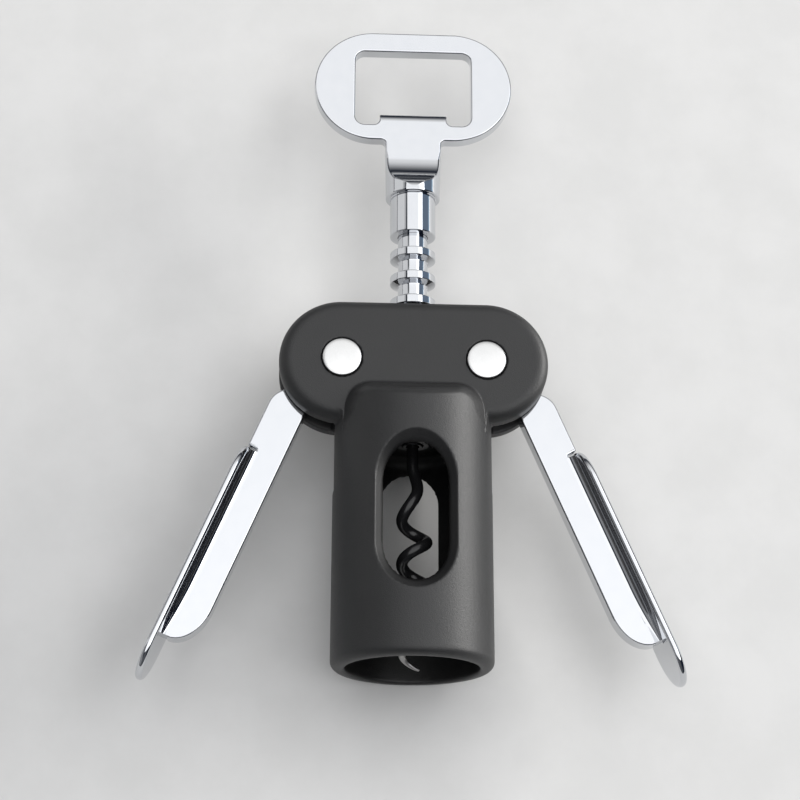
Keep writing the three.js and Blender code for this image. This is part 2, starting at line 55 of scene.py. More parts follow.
MM = 0.001
housing_low, housing_high = (Vector(corner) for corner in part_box("housing"))
MOUTH_CENTRE = Vector((0, housing_low.y, (housing_low.z + housing_high.z) / 2))

# Sizes in millimetres, as in the solids
GAP = 0.3
REACH = 6
BELL_RADIUS, BELL_TOP_RADIUS, BELL_BORE, BELL_HEIGHT = 19, 18.9, 15.6, 67.1
SHOULDER_TILT, BELL_SHOULDER_ROUND = math.radians(66.7), 4.1
SHOULDER_HALF, SHOULDER_CORNER, SHOULDER_BLEND, SHOULDER_START = 17.3, 7.6, 5, 0.7
MOUTH_ROUND, MOUTH_INNER_ROUND = 2, 0.6
CEILING, CEILING_ROUND = 56, 3
SIDE_FLAT_DEPTH, SIDE_FLAT_END = 0.4, 42
WINDOW_HALF, WINDOW_LOW, WINDOW_HIGH, WINDOW_FLARE, WINDOW_FLARE_DEPTH = 7.3, 19.3, 48.6, 4.2, 5.4
REAR_WINDOW_HALF, REAR_WINDOW_HIGH = 6.7, 49.8
PIVOT_X, PIVOT_Y = 17.24, 73.46
HEAD_RADIUS, HEAD_THICKNESS, HEAD_ROUND = 15, 17, 3
SLOT_WIDTH, SLOT_SIDE_X, SLOT_TOP_X = 5.6, 19.6, 11
GUIDE_RADIUS = 5.93
RING_RADIUS, RING_TIP, RING_PITCH, RING_COUNT, TOP_RING = 5.58, 2, 6.283, 8, 101.8
CORE_RADIUS, FLANK_ANGLE, SLEEVE_LOW = 3.65, math.radians(20), 55.4
REST_ANGLE = math.radians(23.1)
WEB_THICKNESS, WEB_INNER, WEB_OUTER, WEB_GROOVE, WEB_ROUND = 5, 2.95, 12.1, 9.7, 0.5
SHOULDER_TOP, SHOULDER_ROUND, HOOK_LENGTH, WEB_LENGTH, WEB_END_ROUND = 10, 5.5, 27.2, 76.9, 9.9
PADDLE_INNER, PADDLE_THICKNESS, PADDLE_START, PADDLE_END, PADDLE_WIDTH = 11.05, 1.75, 27.4, 88, 17
PADDLE_ROUND = 0.8
ROOT_RADIUS, ROOT_END_RADIUS, ROOT_FROM_END, ROOT_TAPER = 2.2, 0.5, 0.35, 14
ROOT_BELOW_HOOK, ROOT_LESS, ROOT_SUNK = 0.5, 0.35, 0.004
TOOTH_COUNT, BACKLASH, MESH_RADIUS = 6, 0.5, 12.64
HUB_RADIUS, TOOTH_TIP_RADIUS, HUB_THICKNESS, HUB_ROUND = 11.27, 13.24, WEB_THICKNESS - 0.06, 0.2
PIN_RADIUS, PIN_HEAD_RADIUS, PIN_SEAT, PIN_PROUD, PIN_DOME = 2.6, 4.64, 0.9, 0.3, 0.35
CAP_BORE_DEPTH, CAP_NECK_RADIUS = 1.6, 3.9
SPINDLE_RADIUS, SPINDLE_LOW, SPINDLE_HIGH = 2.4, 54, 122.17
WASHER_RADIUS, WASHER_THICKNESS = 4, 0.8
FERRULE_RADIUS, FERRULE_LOW, FERRULE_HIGH, FERRULE_ROUND = 5.62, 108.17, 118.4, 0.3
COLLAR_RADIUS, COLLAR_HIGH, COLLAR_ROUND = 6.75, 119, 0.35
FOOT_HEIGHT, FOOT_COVE_SHARE, TONGUE_LENGTH, TONGUE_TAPER = 11, 0.75, 4, 0.9
FOOT_TOP = COLLAR_HIGH + FOOT_HEIGHT
FOOT_EDGE, FOOT_FLAT = 0.95, 0.4
NECK_HALF, NECK_ROUND = 6.95, 1.2
HANDLE_LOW, HANDLE_HIGH, HANDLE_HALF, HANDLE_THICKNESS, HANDLE_ROUND = 134.3, 164.3, 24.9, 3.7, 0.5
OPENING_LOW, OPENING_HIGH, OPENING_HALF, OPENING_CORNER = 138.5, 158.95, 14.6, 2.4
LIFTER_HALF, LIFTER_TOP, LIFTER_ROUND, LIFTER_CORNER = 8.4, 141.3, 1.6, 0.4
LIFTER_SLOPE, LIFTER_STEP, LIFTER_CURVE = 2.2, 0.4, 0.14
SLEEVE_RECESS, RECESS_PLAY, FERRULE_LIP = 1.2, 0.1, 0.15
WIRE_RADIUS, WORM_RADIUS, WORM_OFFSET, WORM_PITCH, WORM_LEFT = 1.4, 2.9, 0.45, 10.6, 35.8
WORM_TIP, WORM_POINT, WORM_POINT_RADIUS = 0.6, 12, 0.25
LEAD_IN_PITCH, LEAD_IN_HEIGHT, PITCH_BLEND = 23, 14.6, 0.8
SHANK_TOP = 66
WORN_HEIGHTS = 2.5, 5.5
CROSS_PIN_Y, CROSS_PIN_RADIUS = 61, 0.5

# How the housing's skin is made and smoothed
VOXEL, KEPT_SHARE = 0.34, 0.4
SKIN_PASSES, SOFT_PASSES, SMOOTHING = 4, 44, 0.5
SHOULDER_REACH, SHOULDER_FADE, SHOULDER_SNAP = 12, 4, 0.6
FACE_SKIN, INNER_SKIN, INNER_DEPTH = 0.2, 1.5, 9
KEPT_DEPTH, KEPT_ROUND_PIN, KEPT_MIDDLE, KEPT_HALF = 1.5, 3, 4, 6
WINDOW_MARGIN, WINDOW_SKIN, WINDOW_LEAST_Z = 1.5, 2.5, 8
SOFT_SKIN, SOFT_BELOW, SOFT_ABOVE = 0.1, 10, 2

# A length too small to see, by which joined bodies overlap
TOUCH = 0.01

# Where shade is painted near black into the bell's inside: its radii and its heights
PAINTED_SHADE_RADII, PAINTED_SHADE_HEIGHTS = (15.9, 17.2), (62, 66)

# Camera, in the tool's axes
CAMERA_PLACE = (-27.0, -96.82, 466.39)
CAMERA_FORWARD = (0.0485, 0.3289, -0.94312)
CAMERA_ROLL = math.radians(0.19)
CAMERA_LENS = 92.585


def to_row(point):
    return MOUTH_CENTRE + MM * Vector(point)


# Flat outlines
def arc(x, y, radius, start, end, steps=8):
    """Points of an arc, with its angles in degrees."""
    angles = [math.radians(start + (end - start) * i / steps) for i in range(steps + 1)]
    return [(x + radius * math.cos(a), y + radius * math.sin(a)) for a in angles]


def ellipse_arc(x, y, half_x, half_y, start, end, steps=16):
    return [
        (x + half_x * px, y + half_y * py)
        for px, py in arc(0, 0, 1, start, end, steps)
    ]


def stadium(from_x, from_y, to_x, to_y, radius, steps=32):
    lean = math.degrees(math.atan2(to_y - from_y, to_x - from_x))
    return arc(to_x, to_y, radius, lean - 90, lean + 90, steps) + arc(
        from_x, from_y, radius, lean + 90, lean + 270, steps
    )


def without_doubles(outline, least=1e-4):
    kept = []
    for point in outline:
        if not kept or (Vector(point) - Vector(kept[-1])).length > least:
            kept.append(point)
    if (Vector(kept[0]) - Vector(kept[-1])).length < least:
        kept.pop()
    return kept


def inset(outline, distance):
    """Each corner moved into the material, which lies to the left of the way round."""
    moved = []
    for i, point in enumerate(outline):
        before = (Vector(point) - Vector(outline[i - 1])).normalized()
        after = (Vector(outline[(i + 1) % len(outline)]) - Vector(point)).normalized()
        left, right = Vector((-before.y, before.x)), Vector((-after.y, after.x))
        moved.append(Vector(point) + distance * (left + right) / (1 + left.dot(right)))
    return moved


# Closed meshes in millimetres
def slab(outline, thickness, rounding, holes=(), steps=4):
    """An outline given thickness about Z = 0, with every outer edge rounded."""
    outlines = [without_doubles(points) for points in (outline, *holes)]
    half = thickness / 2
    turns = [math.radians(90 * i / steps) for i in range(steps + 1)] if rounding else [0]
    rings = [(rounding * (1 - math.cos(a)), half - rounding * (1 - math.sin(a))) for a in turns]
    levels = [(inward, -z) for inward, z in reversed(rings)] + rings
    bm = bmesh.new()
    caps = [[], []]
    for points in outlines:
        rows = [
            [bm.verts.new((*point, z)) for point in inset(points, inward)]
            for inward, z in levels
        ]
        count = len(points)
        for low, high in zip(rows, rows[1:]):
            for i in range(count):
                j = (i + 1) % count
                bm.faces.new((low[i], low[j], high[j], high[i]))
        caps[0].append(rows[0])
        caps[1].append(rows[-1])
    for loops, turned_over in ((caps[0], True), (caps[1], False)):
        if len(loops) == 1:
            bm.faces.new(reversed(loops[0]) if turned_over else loops[0])
            continue
        corners = [vert for loop in loops for vert in loop]
        for triangle in tessellate_polygon([[vert.co for vert in loop] for loop in loops]):
            bm.faces.new([corners[i] for i in triangle])
    bmesh.ops.recalc_face_normals(bm, faces=bm.faces)
    return bm


def lathe(profile, segments=96, closed=False):
    """A profile of (radius, height) pairs turned about the Y axis."""
    bm = bmesh.new()
    rows = []
    for radius, height in profile:
        if radius == 0:
            rows.append([bm.verts.new((0, height, 0))])
            continue
        turns = [2 * math.pi * i / segments for i in range(segments)]
        rows.append(
            [bm.verts.new((radius * math.sin(a), height, radius * math.cos(a))) for a in turns]
        )
    pairs = list(zip(rows, rows[1:])) + ([(rows[-1], rows[0])] if closed else [])
    for low, high in pairs:
        for i in range(segments):
            j = (i + 1) % segments
            corners = [low[i % len(low)], low[j % len(low)], high[j % len(high)], high[i % len(high)]]
            corners = [c for k, c in enumerate(corners) if c not in corners[:k]]
            if len(corners) > 2:
                bm.faces.new(corners)
    bmesh.ops.recalc_face_normals(bm, faces=bm.faces)
    return bm


def rings_joined(rows):
    """A closed skin over rows of points, with a flat face at each end."""
    bm = bmesh.new()
    rings = [[bm.verts.new(point) for point in row] for row in rows]
    for low, high in zip(rings, rings[1:]):
        for i in range(len(low)):
            j = (i + 1) % len(low)
            bm.faces.new((low[i], low[j], high[j], high[i]))
    bm.faces.new(reversed(rings[0]))
    bm.faces.new(rings[-1])
    bmesh.ops.recalc_face_normals(bm, faces=bm.faces)
    return bm


def block(low, high):
    low, high = Vector(low), Vector(high)
    bm = bmesh.new()
    bmesh.ops.create_cube(bm, size=1)
    bm.transform(Matrix.Translation((low + high) / 2) @ Matrix.Diagonal((*(high - low), 1)))
    return bm


def along_z(bm, x=0, y=0, turned_over=False):
    """A lathe body stood with its top to the front, or to the back."""
    turn = Matrix.Rotation(math.radians(-90 if turned_over else 90), 4, "X")
    bm.transform(Matrix.Translation((x, y, 0)) @ turn)
    return bm


def rod_z(radius, x, y, low, high, segments=64):
    rod = lathe([(0, low), (radius, low), (radius, high), (0, high)], segments)
    return along_z(rod, x, y)


def mirrored(bm):
    copy = bm.copy()
    copy.transform(Matrix.Diagonal((-1, 1, 1, 1)))
    bmesh.ops.reverse_faces(copy, faces=copy.faces)
    return copy


def as_object(bm, name):
    mesh = bpy.data.meshes.new(name)
    bm.to_mesh(mesh)
    bm.free()
    made = bpy.data.objects.new(name, mesh)
    scene.collection.objects.link(made)
    return made


def modified(bm, modifiers, tools=(), free=None):
    """The mesh after a list of modifiers, each a type and its settings; free() marks points."""
    made = as_object(bm, "work")
    if free:
        group = made.vertex_groups.new(name="free")
        group.add([vert.index for vert in made.data.vertices if free(vert.co)], 1, "REPLACE")
    others = [as_object(tool, "tool") for tool in tools]
    for kind, settings in modifiers:
        modifier = made.modifiers.new(kind.lower(), kind)
        for key, value in settings.items():
            setattr(modifier, key, others[value] if key == "object" else value)
    shown = made.evaluated_get(bpy.context.evaluated_depsgraph_get())
    result = bmesh.new()
    result.from_mesh(shown.to_mesh())
    shown.to_mesh_clear()
    for old in (made, *others):
        mesh = old.data
        bpy.data.objects.remove(old)
        bpy.data.meshes.remove(mesh)
    return result


def combined(operation, base, *tools):
    steps = [
        ("BOOLEAN", {"operation": operation, "solver": "EXACT", "object": i})
        for i in range(len(tools))
    ]
    return modified(base, steps, tools)


def joined(base, *tools):
    return combined("UNION", base, *tools)


def cut(base, *tools):
    return combined("DIFFERENCE", base, *tools)


# Shader maths
class Socket:
    """An output in a node tree. Sums and products of sockets add the Math nodes they need."""

    def __init__(self, tree, output):
        self.tree = tree
        self.output = output

    def maths(self, operation, *values):
        return self.tree.node("Math", {"operation": operation}, dict(enumerate(values)))

    def __add__(self, other):
        return self.maths("ADD", self, other)

    __radd__ = __add__

    def __mul__(self, other):
        return self.maths("MULTIPLY", self, other)

    __rmul__ = __mul__

    def __sub__(self, other):
        return self.maths("SUBTRACT", self, other)

    def __rsub__(self, other):
        return self.maths("SUBTRACT", other, self)

    def __truediv__(self, other):
        return self.maths("DIVIDE", self, other)

    def __rtruediv__(self, other):
        return self.maths("DIVIDE", other, self)

    def between(self, low, high):
        """Zero below one value and one above the other, with a smooth step between them."""
        inputs = {"Value": self, "From Min": low, "From Max": high}
        return self.tree.node("MapRange", {"interpolation_type": "SMOOTHSTEP"}, inputs)


class Tree:
    """The node tree of a material or the world."""

    def __init__(self, owner):
        owner.use_nodes = True
        self.nodes = owner.node_tree.nodes
        self.links = owner.node_tree.links
        self.nodes.clear()

    def node(self, kind, settings=None, inputs=None, output=0):
        made = self.nodes.new("ShaderNode" + kind)
        for key, value in (settings or {}).items():
            setattr(made, key, value)
        for key, value in (inputs or {}).items():
            if isinstance(value, Socket):
                self.links.new(value.output, made.inputs[key])
            else:
                made.inputs[key].default_value = value
        return Socket(self, made.outputs[output]) if made.outputs else None

    def mix(self, factor, first, second):
        """Two colours mixed; each may be a socket or three numbers."""
        first, second = (c if isinstance(c, Socket) else (*c, 1) for c in (first, second))
        return self.node("Mix", {"data_type": "RGBA"}, {0: factor, 6: first, 7: second}, output=2)

    def place(self):
        return self.node("TexCoord", output="Object")

    def scaled(self, vector, scale):
        return self.node("VectorMath", {"operation": "MULTIPLY"}, {0: vector, 1: scale})

    def noise(self, vector, size_mm, detail=2, roughness=0.5):
        """Soft noise with features of about a size in millimetres."""
        inputs = {"Vector": vector, "Scale": 1 / (size_mm * MM)}
        inputs.update({"Detail": detail, "Roughness": roughness})
        return self.node("TexNoise", {}, inputs)

    def bump(self, height, depth_mm, strength):
        inputs = {"Height": height, "Distance": depth_mm * MM, "Strength": strength}
        return self.node("Bump", {}, inputs)

    def surface(self, **inputs):
        shader = self.node("BsdfPrincipled", {}, {k.replace("_", " "): v for k, v in inputs.items()})
        self.node("OutputMaterial", {}, {"Surface": shader})


def new_finish(name):
    material = bpy.data.materials.new(name)
    return material, Tree(material)


def black_plastic_finish():
    """Moulded black plastic with a fine spark-eroded grain, and painted shade: the bell's inside coloured
    near black.
    """
    material, tree = new_finish("black plastic")
    place = tree.place()
    fine = tree.noise(place, 0.22, 2)
    coarse = tree.noise(place, 0.6, 1)
    cloud = tree.noise(place, 9, 3)
    grain = fine * 0.65 + coarse * 0.35
    offset = tree.node("VectorMath", {"operation": "SUBTRACT"}, {0: place, 1: tuple(MOUTH_CENTRE)})
    across = tree.scaled(offset, (1, 0, 1))
    radius = tree.node("VectorMath", {"operation": "LENGTH"}, {0: across}, output="Value")
    height = tree.node("SeparateXYZ", {}, {0: place}, output=1)
    # Painted shade: deep inside the bell, below the head, the colour goes near black and a little
    # glossier, as if in shadow
    below_head = 1 - height.between(*(to_row((0, y, 0)).y for y in PAINTED_SHADE_HEIGHTS))
    inside = below_head * (1 - radius.between(*(radius_mm * MM for radius_mm in PAINTED_SHADE_RADII)))
    skin = tree.mix(cloud, (0.0125, 0.0127, 0.0132), (0.0175, 0.0177, 0.0182))
    tree.surface(
        # The near-black colour here is painted shade inside the bell
        Base_Color=tree.mix(inside, skin, (0.002, 0.002, 0.002)),
        Roughness=0.40 + grain * 0.16 - inside * 0.05,
        Normal=tree.bump(grain, 0.1, 0.8),
    )
    return material


def chrome_finish(name, turned=False):
    """Bright chrome: slightly wavy where it was cast and polished, finely ringed where turned."""
    material, tree = new_finish(name)
    place = tree.place()
    haze = tree.noise(place, 3, 3)
    scratch = tree.noise(tree.scaled(place, (9, 1, 9)), 2.2, 2)
    if turned:
        marks = tree.noise(tree.scaled(place, (0.02, 1, 0.02)), 0.12, 2)
        normal = tree.bump(marks, 0.0012, 0.5)
    else:
        waves = tree.noise(place, 7, 1)
        normal = tree.bump(waves, 0.02, 0.25)
    tree.surface(
        Base_Color=tree.mix(haze, (0.60, 0.615, 0.64), (0.64, 0.65, 0.67)),
        Metallic=1.0,
        Roughness=0.045 + haze * 0.03 + scratch.between(0.62, 0.8) * 0.03,
        Normal=normal,
    )
    return material


def satin_finish(name, x):
    """A turned steel face with fine rings about its own axis."""
    material, tree = new_finish(name)
    place = tree.place()
    centre = to_row((x, PIVOT_Y, 0))
    offset = tree.node("VectorMath", {"operation": "SUBTRACT"}, {0: place, 1: tuple(centre)})
    flat = tree.scaled(offset, (1, 1, 0))
    radius = tree.node("VectorMath", {"operation": "LENGTH"}, {0: flat}, output="Value")
    inputs = {"W": radius, "Scale": 9000.0, "Detail": 2.0}
    rings = tree.node("TexNoise", {"noise_dimensions": "1D"}, inputs)
    haze = tree.noise(place, 1.5, 3)
    tree.surface(
        Base_Color=tree.mix(haze, (0.67, 0.67, 0.665), (0.73, 0.73, 0.725)),
        Metallic=1.0,
        Roughness=0.24 + rings * 0.1,
        Normal=tree.bump(rings, 0.004, 0.5),
    )
    return material


def plain_steel_finish():
    material, tree = new_finish("plain steel")
    place = tree.place()
    haze = tree.noise(place, 1.2, 3)
    marks = tree.noise(tree.scaled(place, (0.05, 1, 0.05)), 0.15, 2)
    tree.surface(
        Base_Color=tree.mix(haze, (0.07, 0.07, 0.075), (0.14, 0.14, 0.145)),
        Metallic=1.0,
        Roughness=0.28 + haze * 0.12,
        Normal=tree.bump(marks, 0.003, 0.5),
    )
    return material


def worm_finish():
    """A glossy black coating, worn to grey steel at the point."""
    material, tree = new_finish("black coating")
    place = tree.place()
    height = tree.node("SeparateXYZ", {}, {0: place}, output=1)
    patchy = tree.noise(place, 1.4, 4, 0.65)
    edge = height + (patchy - 0.5) * 0.004
    worn = 1 - edge.between(*(to_row((0, y, 0)).y for y in WORN_HEIGHTS))
    tree.surface(
        Base_Color=tree.mix(worn, (0.012, 0.012, 0.013), (0.34, 0.335, 0.33)),
        Metallic=worn,
        Roughness=0.2 + patchy * 0.1 + worn * 0.12,
        Normal=tree.bump(tree.noise(place, 0.5, 2), 0.01, 0.4),
    )
    return material


FINISHES = {
    "black_plastic": black_plastic_finish(),
    "chrome_casting": chrome_finish("chrome casting"),
    "chrome_turned": chrome_finish("turned chrome", turned=True),
    "satin_left": satin_finish("satin steel left", -PIVOT_X),
    "satin_right": satin_finish("satin steel right", PIVOT_X),
    "plain_steel": plain_steel_finish(),
    "black_coating": worm_finish(),
}


def piece(name, bm, node, body, slot, finish=None, sharp_angle=32):
    """A finished mesh that takes a node's place and rides on its body."""
    bm.transform(Matrix.Translation(MOUTH_CENTRE) @ Matrix.Scale(MM, 4))
    made = as_object(bm, name)
    made.data.shade_smooth()
    made.data.set_sharp_from_angle(angle=math.radians(sharp_angle))
    weighted = made.modifiers.new("even shading", "WEIGHTED_NORMAL")
    weighted.keep_sharp = True
    made.data.materials.append(FINISHES[finish or slot])
    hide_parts(node)
    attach(made, body)
    return made


# Housing
def bell_outside():
    profile = [(0, 0)]
    profile += arc(BELL_RADIUS - MOUTH_ROUND, MOUTH_ROUND, MOUTH_ROUND, -90, 0, 10)
    profile += [(BELL_TOP_RADIUS, BELL_HEIGHT), (0, BELL_HEIGHT)]
    return combined("INTERSECT", lathe(profile, 144), shoulder_room())


def shoulder_room():
    """The room that the bell's top fills: a slope up from the head's face, rounded into the bell."""
    face, tilt, rounding = HEAD_THICKNESS / 2, SHOULDER_TILT, BELL_SHOULDER_ROUND
    straight = (BELL_RADIUS - rounding * (1 - math.cos(tilt)) - face) / math.tan(tilt)
    depth = straight + rounding * math.sin(tilt)
    slope = [(0, face)]
    for i in range(13):
        turn = tilt * (1 - i / 12)
        height = BELL_RADIUS - rounding * (1 - math.cos(turn))
        slope.append((depth - rounding * math.sin(turn), height))
    slope.append((depth, BELL_RADIUS + GAP))
    levels = [(inward, -z) for inward, z in reversed(slope)] + slope
    base = BELL_HEIGHT - SHOULDER_CORNER - REACH
    rows = []
    for inward, z in levels:
        corner, side = SHOULDER_CORNER - inward, SHOULDER_HALF - inward
        middle = BELL_HEIGHT - inward - corner
        outline = [(-side, base), (side, base)]
        outline += arc(side - corner, middle, corner, 0, 90, 12)
        outline += arc(corner - side, middle, corner, 90, 180, 12)
        rows.append([(x, y, z) for x, y in outline])
    far = BELL_RADIUS + REACH
    return joined(rings_joined(rows), block((-far, -REACH, -far), (far, BELL_HEIGHT - depth, far)))


def bell_inside():
    profile = [(0, -REACH), (BELL_BORE + MOUTH_INNER_ROUND, -REACH)]
    profile += arc(BELL_BORE + MOUTH_INNER_ROUND, MOUTH_INNER_ROUND, -MOUTH_INNER_ROUND, 90, 0, 5)
    profile += arc(BELL_BORE - CEILING_ROUND, CEILING - CEILING_ROUND, CEILING_ROUND, 0, 90, 8)
    return lathe(profile + [(0, CEILING)], 144)


def guide_hole():
    low, high = CEILING - REACH, PIVOT_Y + HEAD_RADIUS + REACH
    return lathe([(0, low), (GUIDE_RADIUS, low), (GUIDE_RADIUS, high), (0, high)])


def window(side):
    """The straight way through the wall and the mouth that flares out to the bell's surface."""
    half, top = (WINDOW_HALF, WINDOW_HIGH) if side > 0 else (REAR_WINDOW_HALF, REAR_WINDOW_HIGH)
    low, high = WINDOW_LOW + half, top - half
    start = BELL_RADIUS - WINDOW_FLARE_DEPTH
    slope = WINDOW_FLARE / WINDOW_FLARE_DEPTH
    levels = [(0, 0), (start, 0), (BELL_RADIUS + REACH, slope * (WINDOW_FLARE_DEPTH + REACH))]
    rows = [
        [(x, y, side * z) for x, y in stadium(0, low, 0, high, half + flare)]
        for z, flare in levels
    ]
    return rings_joined(rows)


def lever_slot(side):
    half = SLOT_WIDTH / 2
    far = PIVOT_X + HEAD_RADIUS + REACH
    low, high = PIVOT_Y - HEAD_RADIUS - REACH, PIVOT_Y + HEAD_RADIUS + REACH
    hub_room = rod_z(HEAD_RADIUS + GAP, PIVOT_X, PIVOT_Y, -half, half, 96)
    above = block((SLOT_TOP_X, PIVOT_Y, -half), (far, high, half))
    below = block((SLOT_SIDE_X, low, -half), (far, PIVOT_Y + 1, half))
    room = joined(hub_room, above, below)
    return room if side > 0 else mirrored(room)


def pin_way(side):
    x = side * PIVOT_X
    face = HEAD_THICKNESS / 2
    seat = face - PIN_SEAT
    head = PIN_HEAD_RADIUS + GAP
    bore = PIN_RADIUS + GAP
    neck = CAP_NECK_RADIUS + GAP
    profile = [
        (0, -face - REACH), (head, -face - REACH), (head, -seat), (neck, -seat),
        (neck, -seat + CAP_BORE_DEPTH), (bore, -seat + CAP_BORE_DEPTH), (bore, seat),
        (head, seat), (head, face + REACH), (0, face + REACH),
    ]
    return along_z(lathe(profile), x, PIVOT_Y)


def side_flat(side):
    near = BELL_RADIUS - SIDE_FLAT_DEPTH
    room = block(
        (near, SIDE_FLAT_END, -BELL_RADIUS / 2),
        (BELL_RADIUS + REACH, PIVOT_Y - HEAD_RADIUS, BELL_RADIUS / 2),
    )
    return room if side > 0 else mirrored(room)


def housing_mesh():
    outline = stadium(-PIVOT_X, PIVOT_Y, PIVOT_X, PIVOT_Y, HEAD_RADIUS, 48)
    head = slab(outline, HEAD_THICKNESS, HEAD_ROUND, steps=8)
    sides = (1, -1)
    tools = [bell_inside(), guide_hole()]
    tools += [make(side) for make in (window, lever_slot, pin_way, side_flat) for side in sides]
    sharp = cut(joined(head, bell_outside()), *tools)
    shell = modified(sharp, [("REMESH", {"mode": "VOXEL", "voxel_size": VOXEL})])
    for _ in range(SKIN_PASSES):
        bmesh.ops.smooth_vert(shell, verts=shell.verts, factor=SMOOTHING)
    for vert in shell.verts:
        vert.co.z = math.copysign(shoulder_height(vert.co), vert.co.z)
    soft = [vert for vert in shell.verts if near_window(vert.co) or on_shoulder(vert.co)]
    for _ in range(SOFT_PASSES):
        bmesh.ops.smooth_vert(shell, verts=soft, factor=SMOOTHING)
    thinned = ("DECIMATE", {"ratio": KEPT_SHARE, "vertex_group": "free"})
    return modified(shell, [thinned], free=plainly_shaped)


def shoulder_height(point):
    """A point's height above the middle plane, with the shoulder blended softly into the bell."""
    x, y, z = abs(point.x), point.y, abs(point.z)
    face = HEAD_THICKNESS / 2
    inside = math.hypot(x, z) < BELL_BORE + INNER_SKIN and y < BELL_HEIGHT - INNER_DEPTH
    if z < face - FACE_SKIN or y < BELL_HEIGHT - SHOULDER_REACH or inside:
        return z
    aside, above = x - SHOULDER_HALF + SHOULDER_CORNER, y - BELL_HEIGHT + SHOULDER_CORNER
    inward = SHOULDER_CORNER - math.hypot(max(aside, 0), max(above, 0)) - min(max(aside, above), 0)
    at_start = abs(inward) < SHOULDER_START
    if at_start:
        inward = (inward + SHOULDER_START) ** 2 / (4 * SHOULDER_START)
    slope = face + max(0, inward) * math.tan(SHOULDER_TILT)
    bell = math.sqrt(max(0, BELL_RADIUS ** 2 - x ** 2))
    blend = SHOULDER_BLEND * min(1, (y - BELL_HEIGHT + SHOULDER_REACH) / SHOULDER_FADE)
    near = max(0, blend - abs(slope - bell))
    height = max(face, min(slope, bell) - near ** 2 / (4 * blend + TOUCH))
    return height if at_start and abs(height - z) < SHOULDER_SNAP else min(z, height)


def plainly_shaped(point):
    """Whether a point is away from the pins' seats and the shoulder, and may be thinned out."""
    on_face = abs(point.z) > HEAD_THICKNESS / 2 - KEPT_DEPTH
    from_pin = math.hypot(abs(point.x) - PIVOT_X, point.y - PIVOT_Y)
    near_pin = from_pin < PIN_HEAD_RADIUS + KEPT_ROUND_PIN
    return not (on_face and (near_pin or abs(point.y - BELL_HEIGHT + KEPT_MIDDLE) < KEPT_HALF))


def near_window(point):
    rim = WINDOW_FLARE + WINDOW_MARGIN
    outside = math.hypot(point.x, point.z) > BELL_RADIUS - WINDOW_SKIN
    in_width = abs(point.x) < WINDOW_HALF + rim and abs(point.z) > WINDOW_LEAST_Z
    return outside and in_width and WINDOW_LOW - rim < point.y < WINDOW_HIGH + rim


def on_shoulder(point):
    on_face = abs(point.z) > HEAD_THICKNESS / 2 - SOFT_SKIN
    return on_face and BELL_HEIGHT - SOFT_BELOW < point.y < BELL_HEIGHT + SOFT_ABOVE


piece("housing_shell", housing_mesh(), "housing", "housing", "black_plastic", sharp_angle=75)


# Pivot pins and their caps
def head_profile(seat, rim):
    """The outside of a domed head, from its seat up to the middle of its dome."""
    corner = 0.25
    crown = rim + PIN_DOME
    rise = PIN_DOME / PIN_HEAD_RADIUS ** 2
    inner = PIN_HEAD_RADIUS - corner
    profile = [(PIN_HEAD_RADIUS, seat)]
    profile += arc(inner, rim - corner, corner, 0, 70, 5)
    radii = [inner * (1 - i / 8) for i in range(1, 9)]
    return profile + [(radius, crown - rise * radius ** 2) for radius in radii]


def pin_mesh(x):
    face = HEAD_THICKNESS / 2
    seat = face - PIN_SEAT + GAP
    end, edge = GAP - seat, 0.2
    profile = [(0, end), (PIN_RADIUS - edge, end), (PIN_RADIUS, end + edge), (PIN_RADIUS, seat)]
    return along_z(lathe(profile + head_profile(seat, face + PIN_PROUD)), x, PIVOT_Y)


def cap_mesh(x):
    face = HEAD_THICKNESS / 2
    seat = face - PIN_SEAT + GAP
    bore = PIN_RADIUS + GAP
    low = seat - CAP_BORE_DEPTH
    profile = [(0, seat), (bore, seat), (bore, low), (CAP_NECK_RADIUS, low), (CAP_NECK_RADIUS, seat)]
    profile += head_profile(seat, face + PIN_PROUD)
    return along_z(lathe(profile), x, PIVOT_Y, turned_over=True)


for side, x in (("left", -PIVOT_X), ("right", PIVOT_X)):
    finish = f"satin_{side}"
    piece(f"pin_{side}", pin_mesh(x), f"pivot_pin_{side}", "housing", "satin_steel", finish)
    piece(f"cap_{side}", cap_mesh(x), f"pivot_cap_{side}", "housing", "satin_steel", finish)


# Levers, drawn closed: the pivot at the origin, the arm down along -Y, the outer side at +X
def tooth_half_angle(radius):
    base = MESH_RADIUS * math.cos(FLANK_ANGLE)
    ring = RING_TIP + 2 * (RING_RADIUS - (PIVOT_X - MESH_RADIUS)) * math.tan(FLANK_ANGLE)
    half = (RING_PITCH - ring - BACKLASH) / (2 * MESH_RADIUS)
    turn = math.acos(min(1, base / radius))
    return half + (math.tan(FLANK_ANGLE) - FLANK_ANGLE) - (math.tan(turn) - turn)


def toothed_outline():
    pitch = RING_PITCH / MESH_RADIUS
    ring_centre = TOP_RING + RING_TIP / 2
    gap_index = round((ring_centre - PIVOT_Y) / RING_PITCH - 0.5)
    gap_y = ring_centre - (gap_index + 0.5) * RING_PITCH - PIVOT_Y
    first = math.pi - REST_ANGLE - gap_y / MESH_RADIUS + pitch
    centres = [first - i * pitch for i in reversed(range(TOOTH_COUNT))]
    radii = [HUB_RADIUS + (TOOTH_TIP_RADIUS - HUB_RADIUS) * i / 5 for i in range(6)]
    polar = []
    for centre in centres:
        polar += [(radius, centre - tooth_half_angle(radius)) for radius in radii]
        polar += [(radius, centre + tooth_half_angle(radius)) for radius in reversed(radii)]
    start, end = polar[-1][1], polar[0][1] + 2 * math.pi
    polar += [(HUB_RADIUS, start + (end - start) * i / 40) for i in range(1, 40)]
    return [(radius * math.cos(a), radius * math.sin(a)) for radius, a in polar]


